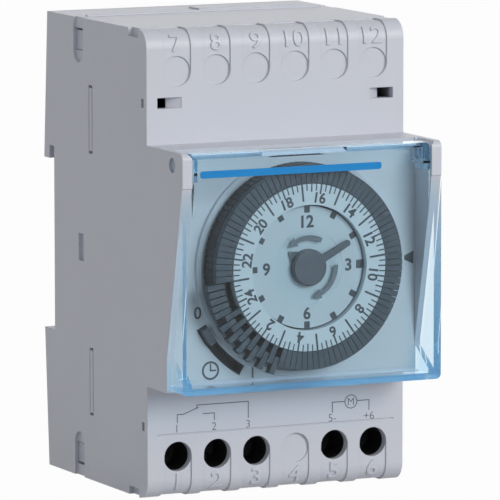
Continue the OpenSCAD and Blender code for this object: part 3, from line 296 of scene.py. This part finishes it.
def wrap_over_edge(piece, way):
    """Bends a flat number over the rounded edge, from where the flat ends."""
    slices = 12
    bpy.ops.object.mode_set(mode="EDIT")
    for k in range(1, slices):
        bpy.ops.mesh.select_all(action="SELECT")
        bpy.ops.mesh.bisect(plane_co=(0, 0, (k / slices - 0.5) * number_h), plane_no=(0, 0, 1))
    bpy.ops.object.mode_set(mode="OBJECT")
    flat = number_flat[way]
    rise = number_h / 2 - flat
    settle(piece, (0, -number_t / 2, rise if way == "up" else -rise))
    bend = piece.modifiers.new("over the edge", "SIMPLE_DEFORM")
    bend.deform_method = "BEND"
    bend.deform_axis = "X"
    bend.angle = (number_h - flat) / (edge_r - channel)
    bend.limits = (flat / number_h, 1) if way == "up" else (0, 1 - flat / number_h)
    bpy.ops.object.modifier_apply(modifier=bend.name)


raised = moulding("raised number", casing_grey, rough=0.4, spread=0.025, grain=0.1, edge=0.06 * mm)
for i in range(2 * positions):
    way = "up" if i >= positions else "down"
    number = letters("terminal_number_%d" % (i + 1), str(i + 1), number_h, number_t,
                     weight=0.012, arris=0.02)
    settle(number, size=(number_widened, 1, 1))
    wrap_over_edge(number, way)
    across = (i % positions - (positions - 1) / 2) * pitch
    settle(number, (across, channel - shoulder, edge_start[way]))
    dress(number, raised, "housing")

# Terminal shroud: tubes behind the screw holes keep the driver off the live
# cages. Their near-black colour is painted shade, which makes the deep holes
# look black from the front.
finish(moulding("shroud painted shade", shade(18, 19, 22), rough=0.6, spread=0.1, grain=0.2), "terminal_shroud")

# Connection diagram printed on the lower shoulder in dark grey ink: a
# changeover contact over terminals 1 to 3 and the motor between 5 and 6.
ink_t = 0.02 * mm
line_w = 0.17 * mm


def print_ink(name, colour, rough=0.5, spread=0.05):
    """Printed ink: a thin even film without a rounded edge."""
    return moulding(name, colour, rough, spread, grain=0.05, edge=0.0)


def stroke(x0, z0, x1, z1, depth, wide, thick=ink_t, ease=0.35):
    """One printed line with rounded ends."""
    bpy.ops.object.select_all(action="DESELECT")
    bpy.ops.mesh.primitive_cube_add(size=1, location=(0, 0, 0))
    bar = bpy.context.object
    length = math.hypot(x1 - x0, z1 - z0) + wide
    settle(bar, size=(length, thick, wide))
    bpy.ops.object.mode_set(mode="EDIT")
    bpy.ops.mesh.select_mode(type="EDGE")
    bpy.ops.mesh.select_all(action="DESELECT")
    bpy.ops.object.mode_set(mode="OBJECT")
    for edge in bar.data.edges:
        a, b = (bar.data.vertices[i].co for i in edge.vertices)
        edge.select = abs(a.y - b.y) > thick / 2
    bpy.ops.object.mode_set(mode="EDIT")
    bpy.ops.mesh.bevel(offset=wide * ease, segments=2)
    bpy.ops.object.mode_set(mode="OBJECT")
    place = ((x0 + x1) / 2, -depth - thick / 2, (z0 + z1) / 2)
    return settle(bar, place, math.atan2(z1 - z0, x1 - x0))


def together(name, pieces):
    """Joins finished strokes to one print."""
    bpy.ops.object.select_all(action="DESELECT")
    for piece in pieces:
        piece.select_set(True)
    bpy.context.view_layer.objects.active = pieces[0]
    bpy.ops.object.join()
    joined = bpy.context.object
    joined.name = name
    return joined


def arc_band(name, r0, r1, a0, a1, centre, depth, steps):
    """Printed curved band round a centre, spun from angle a0 to a1 in degrees."""
    bpy.ops.object.select_all(action="DESELECT")
    bpy.ops.mesh.primitive_plane_add(size=1, location=(0, 0, 0))
    band = bpy.context.object
    band.name = name
    settle(band, size=(r1 - r0, ink_t, 1))
    settle(band, ((r0 + r1) / 2, 0, 0))
    bpy.ops.object.mode_set(mode="EDIT")
    bpy.ops.mesh.select_all(action="SELECT")
    bpy.ops.mesh.spin(steps=steps, angle=math.radians(a1 - a0), center=(0, 0, 0), axis=(0, 1, 0),
                      use_auto_merge=True)
    bpy.ops.mesh.select_all(action="SELECT")
    bpy.ops.mesh.remove_doubles(threshold=1e-7)
    bpy.ops.mesh.normals_make_consistent(inside=False)
    bpy.ops.object.mode_set(mode="OBJECT")
    return settle(band, (centre[0], -depth - ink_t / 2, centre[1]), math.radians(a0))


def printed_words(name, words, x, z, height, depth, weight):
    """Printed characters, their middle at a place on a surface."""
    return settle(letters(name, words, height, ink_t, weight), (x, -depth - ink_t / 2, z))


def lines_of(ends, depth):
    """Printed lines, their ends given in millimetres."""
    return [stroke(*(end * mm for end in line), depth, line_w) for line in ends]


ink = print_ink("grey ink", shade(92, 96, 106), spread=0.06)
contact = [(-20.4, -30.1, -20.4, -28.6), (-20.4, -28.6, -19.1, -28.6), (-19.1, -28.6, -16.1, -27.5),
           (-16.4, -27.7, -16.4, -27.05), (-16.4, -27.05, -5.8, -27.05), (-5.8, -27.05, -5.8, -30.1),
           (-15.1, -28.75, -12.8, -28.75), (-12.8, -28.75, -12.8, -30.1)]
dress(together("contact_diagram", lines_of(contact, shoulder)), ink, "housing")
motor = [(11.7, -30.3, 11.7, -28.4), (11.7, -28.4, 14.3, -28.4), (16.9, -28.4, 19.4, -28.4),
         (19.4, -28.4, 19.4, -30.3)]
leads = lines_of(motor, shoulder)
circle = arc_band("circle", 1.17 * mm, 1.34 * mm, 0, 360, (15.6 * mm, -28.5 * mm), shoulder, 48)
dress(together("motor_diagram", leads + [circle]), ink, "housing")
for name, words, x, z, h in (("motor_letter", "M", 15.6, -28.5, 1.35), ("mark_1", "1", -20.5, -31.2, 1.45),
                             ("mark_2", "2", -12.85, -31.25, 1.45), ("mark_3", "3", -5.85, -31.3, 1.45),
                             ("mark_5", "5-", 11.7, -31.35, 1.45), ("mark_6", "+6", 19.4, -31.4, 1.45)):
    mark = printed_words(name, words, x * mm, z * mm, h * mm, shoulder, -0.01)
    dress(mark, ink, "housing")

# Dial plate: a light moulding pressed into the nose. Printed on it are the
# pointer for the time of day, the off and on marks and the clock sign of the
# override's three positions.
finish(moulding("plate plastic", shade(205, 209, 214), rough=0.5, spread=0.02, grain=0.1), "face_plate")
collar = 0.7 * mm
plate_front = -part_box("face_plate")[0].y - collar
dial_z = joints["dial_turn"]["pos_m"][2]
pointer_t = 0.03 * mm
pointer_x = 23.25 * mm
pointer_size = (1.9 * mm, pointer_t, 2.5 * mm)
pointer_tip = 0.3
dark_ink = print_ink("dark ink", shade(50, 58, 66))
bpy.ops.object.select_all(action="DESELECT")
bpy.ops.mesh.primitive_cube_add(size=1, location=(0, 0, 0))
pointer = bpy.context.object
pointer.name = "time_pointer"
settle(pointer, size=pointer_size)
bpy.ops.object.mode_set(mode="EDIT")
bpy.ops.mesh.select_mode(type="VERT")
bpy.ops.mesh.select_all(action="DESELECT")
bpy.ops.object.mode_set(mode="OBJECT")
for corner in pointer.data.vertices:
    corner.select = corner.co.x < 0
bpy.ops.object.mode_set(mode="EDIT")
bpy.ops.transform.resize(value=(1, 1, pointer_tip), center_override=(0, 0, 0))
bpy.ops.object.mode_set(mode="OBJECT")
settle(pointer, (pointer_x, -plate_front - pointer_t / 2, dial_z))
dress(pointer, dark_ink, "housing")
for name, words, x, z, h in (("mark_off", "0", -20.3, -8.4, 2.3), ("mark_on", "I", -9.1, -20.2, 2.05)):
    mark = printed_words(name, words, x * mm, z * mm, h * mm, plate_front, 0.012)
    dress(mark, dark_ink, "housing")
clock_x, clock_z = -17.7 * mm, -19.3 * mm
clock_w = 0.3 * mm
ring = arc_band("clock_ring", 1.36 * mm, 1.76 * mm, 0, 360, (clock_x, clock_z), plate_front, 64)
hands = [stroke(clock_x, clock_z, clock_x, clock_z + 1.1 * mm, plate_front, clock_w),
         stroke(clock_x, clock_z, clock_x + 1.0 * mm, clock_z, plate_front, clock_w)]
dress(together("clock_symbol", [ring] + hands), dark_ink, "housing")

# Override: a dark button slides in an arc slot of the plate, and a black tray
# snapped in behind the slot guides it.
finish(moulding("slider plastic", shade(62, 72, 80), rough=0.4, spread=0.06), "override_slider")
finish(moulding("guide plastic", shade(14, 18, 23), rough=0.55, spread=0.1), "override_guide")

# Switching dial: a near-black drum carries 96 sliding tappets, one for every
# quarter of an hour, and a pale ring with the 24 hours printed on it.
finish(moulding("drum plastic", shade(15, 22, 28), rough=0.45, spread=0.08, grain=0.15), "tappet_drum")
finish(moulding("tappet plastic", shade(42, 54, 64), rough=0.42, spread=0.1, grain=0.2, edge=0.08 * mm),
       "tappets_in", "tappets_out", *["tappet_%d" % i for i in range(1, 8)])
finish(moulding("ring plastic", shade(206, 211, 214), rough=0.4, spread=0.015, grain=0.05, edge=0.1 * mm),
       "hour_ring")
black_ink = print_ink("black ink", shade(40, 49, 57), rough=0.45)
ring_low, ring_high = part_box("hour_ring")
ring_front = -ring_low.y
ring_r = ring_high.x
tick_gap = 0.12 * mm
hour_at_pointer = 10.6
hour_number_r = 13.05 * mm
hour_number_h = 2.05 * mm
hour_number_x = 0.12 * mm


def round_dial(radius, angle):
    """Place on the dial at a radius and an angle."""
    return radius * math.cos(angle), dial_z + radius * math.sin(angle)


def hour_angle(hour):
    """Angle of an hour on the ring, from the side where the pointer is."""
    return (hour - hour_at_pointer) * math.tau / 24


ticks = []
for quarter in range(96):
    if quarter % 8 == 4:
        length, wide = 3.0, 0.38
    elif quarter % 4 == 0:
        length, wide = 1.7, 0.32
    elif quarter % 2 == 0:
        length, wide = 1.35, 0.28
    else:
        length, wide = 1.15, 0.24
    angle = hour_angle(quarter / 4)
    inner, outer = round_dial(ring_r - length * mm, angle), round_dial(ring_r - tick_gap, angle)
    ticks.append(stroke(*inner, *outer, ring_front, wide * mm))
dress(together("hour_ticks", ticks), black_ink, "dial")
hours = []
for hour in range(2, 25, 2):
    angle = hour_angle(hour)
    x, z = round_dial(hour_number_r, angle)
    number = letters("hour_%d" % hour, str(hour), hour_number_h, ink_t, weight=0.028)
    hours.append(settle(number, (hour_number_x + x, -ring_front - ink_t / 2, z), angle - math.pi / 2))
dress(together("hour_numbers", hours), black_ink, "dial")

# Clock face: a pale grey fixed disc in the middle of the dial with four numbers
# and twelve square hour marks in black print.
finish(moulding("face plastic", shade(194, 200, 204), rough=0.42, spread=0.015, grain=0.05, edge=0.1 * mm),
       "clock_face")
face_front = -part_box("clock_face")[0].y
marks = []
for k in range(12):
    angle = math.radians(90 - 30 * k)
    if k == 3:
        radius, half, wide = 11.1, 0.2, 1.6
    elif k % 3 == 0:
        radius, half, wide = 10.9, 0.2, 1.15
    else:
        radius, half, wide = 10.85, 0.1, 1.15
    inner, outer = round_dial((radius - half) * mm, angle), round_dial((radius + half) * mm, angle)
    marks.append(stroke(*inner, *outer, face_front, wide * mm, ease=0.1))
dress(together("hour_marks", marks), black_ink, "housing")
for words, x, z in (("12", 0.1, 8.5), ("3", 8.5, 0), ("6", 0, -8.6), ("9", -8.3, 0)):
    number = printed_words("clock_" + words, words, x * mm, dial_z + z * mm, 2.35 * mm, face_front, 0.03)
    dress(number, black_ink, "housing")

# Hands: dark grey mouldings on nested tubes. A clear disc with two printed
# arrows turns with the minute hand and sets the time.
finish(moulding("hand plastic", shade(68, 75, 83), rough=0.4), "minute_hand", "hour_hand")


def reckon(tree, links, operation, *terms):
    """Math node on outputs and plain numbers; returns its output."""
    added = tree.new("ShaderNodeMath")
    added.operation = operation
    for socket, term in zip(added.inputs, terms):
        if isinstance(term, (int, float)):
            socket.default_value = term
        else:
            links.new(term, socket)
    return added.outputs["Value"]


def dull_ends(tree, links, surface, place, body, beyond_x, above_z):
    """Makes the ends of the hinge pins pale and opaque; returns the colour."""
    parts = tree.new("ShaderNodeSeparateXYZ")
    links.new(place, parts.inputs[0])
    sideways = reckon(tree, links, "ABSOLUTE", parts.outputs["X"])
    dull = reckon(tree, links, "MULTIPLY",
                  reckon(tree, links, "GREATER_THAN", sideways, beyond_x),
                  reckon(tree, links, "GREATER_THAN", parts.outputs["Z"], above_z))
    links.new(reckon(tree, links, "SUBTRACT", 1, dull), surface.inputs["Transmission Weight"])
    return between(tree, links, dull, body, shade(176, 184, 196))


def clear(name, tint=None, density=0, rough=0.03, pin_ends=None):
    """Clear plastic: light passes it, and a long way through it colours."""
    white = (1, 1, 1, 1)
    sheet_tint = (0.93, 0.97, 0.98, 1)
    drift, drift_scale = 0.01, 40
    smear_scale = 220
    made, tree, links, surface, place = bare_material(name)
    surface.inputs["Transmission Weight"].default_value = 1
    surface.inputs["IOR"].default_value = 1.27
    body = tone(tree, links, place, white, drift, drift_scale)
    if pin_ends:
        body = dull_ends(tree, links, surface, place, body, *pin_ends)
    links.new(body, surface.inputs["Base Color"])
    smear = put(tree, "TexNoise", Scale=smear_scale)
    links.new(place, smear.inputs["Vector"])
    uneven_gloss(tree, links, surface, smear.outputs["Fac"], rough * 0.5, rough * 1.5)
    # What stands behind the plastic is lit as if through thin clear sheet.
    through = put(tree, "BsdfTransparent", Color=sheet_tint)
    path = tree.new("ShaderNodeLightPath").outputs
    lit_through = reckon(tree, links, "MAXIMUM", path["Is Shadow Ray"], path["Is Diffuse Ray"])
    both = tree.new("ShaderNodeMixShader")
    links.new(lit_through, both.inputs["Fac"])
    links.new(surface.outputs["BSDF"], both.inputs[1])
    links.new(through.outputs["BSDF"], both.inputs[2])
    links.new(both.outputs["Shader"], tree["Material Output"].inputs["Surface"])
    if density:
        soak = put(tree, "VolumeAbsorption", Color=tint, Density=density)
        links.new(soak.outputs["Volume"], tree["Material Output"].inputs["Volume"])
    return made


finish(clear("clear disc", rough=0.1), "setting_disc")
disc_front = -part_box("setting_disc")[0].y
arrow_r0, arrow_r1 = 5.1 * mm, 6.0 * mm
arrow_head = 1.15 * mm


def head(at, size, turn):
    """Arrow head as a flat triangle."""
    bpy.ops.object.select_all(action="DESELECT")
    bpy.ops.mesh.primitive_cylinder_add(vertices=3, radius=size, depth=ink_t, location=(0, 0, 0),
                                        rotation=(math.pi / 2, 0, 0))
    tip = bpy.context.object
    bpy.ops.object.transform_apply(location=True, rotation=True, scale=True)
    settle(tip, turn=-math.pi / 2)
    return settle(tip, (at[0], -disc_front - ink_t / 2, at[1]), turn)


arrow_grey = print_ink("arrow print", shade(96, 103, 109))
for name, a0, a1, tip_a, along in (("arrow_upper", 62, 118, 124, 1), ("arrow_lower", -64, 2, -70, -1)):
    band = arc_band(name, arrow_r0, arrow_r1, a0, a1, (0, dial_z), disc_front, 40)
    tip_at = math.radians(tip_a)
    tip = head(round_dial((arrow_r0 + arrow_r1) / 2, tip_at), arrow_head, tip_at + along * math.pi / 2)
    dress(together(name, [band, tip]), arrow_grey, "minute")

# Cover: one clear moulding with a faint blue tint that deepens where light
# runs along the sheet. It hangs on two pins in the ears, and a blue stripe is
# printed across its top.
pin_z = joints["cover_hinge"]["pos_m"][2]
# sideways distance and height beyond which the plastic is a pin's end
pin_ends = (24.6 * mm, pin_z - 3.0 * mm)
finish(clear("cover plastic", tint=(0.2, 0.7, 0.96, 1), density=150, pin_ends=pin_ends), "cover")
stripe_blue = print_ink("blue stripe", shade(8, 142, 214), rough=0.35, spread=0.03)
stripe_t = 0.03 * mm
stripe_w = 1.34 * mm
stripe_z = 18.0 * mm
cover_front = -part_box("cover")[0].y
stripe = stroke(-22.3 * mm, stripe_z, 13.4 * mm, stripe_z, cover_front - stripe_t, stripe_w, stripe_t)
stripe.name = "cover_stripe"
dress(stripe, stripe_blue, "cover")

# Studio: a pale floor, a pale backdrop seen only by the camera and in
# reflections, and soft lamps from the front, the left and behind.
bpy.ops.object.select_all(action="DESELECT")
bpy.ops.mesh.primitive_plane_add(size=6, location=(0, 0, casing_foot - 0.1 * mm))
floor = bpy.context.object
floor.name = "studio_floor"
pale_floor = bpy.data.materials.new("floor")
pale_floor.use_nodes = True
tree, links = pale_floor.node_tree.nodes, pale_floor.node_tree.links
surface = tree["Principled BSDF"]
surface.inputs["Base Color"].default_value = (0.55, 0.55, 0.56, 1)
surface.inputs["Roughness"].default_value = 0.9
floor_glow = 0.97
backdrop_glow = 1


def seen_directly(tree, links, share):
    """Share of a white backdrop for what the camera and reflections see."""
    path = tree.new("ShaderNodeLightPath").outputs
    mirrored = reckon(tree, links, "MAXIMUM", path["Is Camera Ray"], path["Is Glossy Ray"])
    seen = reckon(tree, links, "MAXIMUM", mirrored, path["Is Transmission Ray"])
    return reckon(tree, links, "MULTIPLY", seen, share)


glow = put(tree, "Emission", Strength=1)
lit = tree.new("ShaderNodeMixShader")
links.new(seen_directly(tree, links, floor_glow), lit.inputs["Fac"])
links.new(surface.outputs["BSDF"], lit.inputs[1])
links.new(glow.outputs["Emission"], lit.inputs[2])
links.new(lit.outputs["Shader"], tree["Material Output"].inputs["Surface"])
floor.data.materials.append(pale_floor)

world = bpy.context.scene.world or bpy.data.worlds.new("studio")
bpy.context.scene.world = world
world.use_nodes = True
tree, links = world.node_tree.nodes, world.node_tree.links
tree.clear()
white = put(tree, "Background", Color=(1, 1, 1, 1), Strength=1)
fill = put(tree, "Background", Color=(0.92, 0.95, 1.0, 1), Strength=0.3)
mix = tree.new("ShaderNodeMixShader")
links.new(seen_directly(tree, links, backdrop_glow), mix.inputs["Fac"])
links.new(fill.outputs["Background"], mix.inputs[1])
links.new(white.outputs["Background"], mix.inputs[2])
links.new(mix.outputs["Shader"], tree.new("ShaderNodeOutputWorld").inputs["Surface"])
aim = Vector((0, -0.025, 0))


def lamp(name, at, size, power):
    """Soft square lamp that faces the object."""
    bpy.ops.object.light_add(type="AREA", location=at)
    light = bpy.context.object
    light.name = name
    light.data.size = size
    light.data.energy = power
    light.rotation_euler = (aim - Vector(at)).to_track_quat("-Z", "Y").to_euler()


lamp("key", (0.5, -1.35, 0.6), 0.8, 13.6)
lamp("left", (-1.5, -0.5, 0.0), 0.8, 3.6)
lamp("back", (0.6, 1.6, 0.0), 1.0, 1.6)

# Camera: a long lens a little over a metre away, on the object's left and just
# above it. The shifts set the object a little left of and above the middle.
azimuth, elevation, roll = math.radians(-25.197), math.radians(7.282), math.radians(-0.063)
distance = 1.14915
back = Vector((math.sin(azimuth) * math.cos(elevation), -math.cos(azimuth) * math.cos(elevation),
               math.sin(elevation)))
bpy.ops.object.camera_add(location=aim + back * distance)
camera = bpy.context.object
turned = back.to_track_quat("Z", "Y").to_matrix().to_4x4() @ Matrix.Rotation(roll, 4, "Z")
camera.rotation_euler = turned.to_euler()
camera.data.sensor_width = 36
camera.data.lens = 436.83
camera.data.shift_x = 0.0288
camera.data.shift_y = -0.0096
camera.data.clip_end = 20
bpy.context.scene.camera = camera
bpy.context.scene.view_settings.view_transform = "Standard"
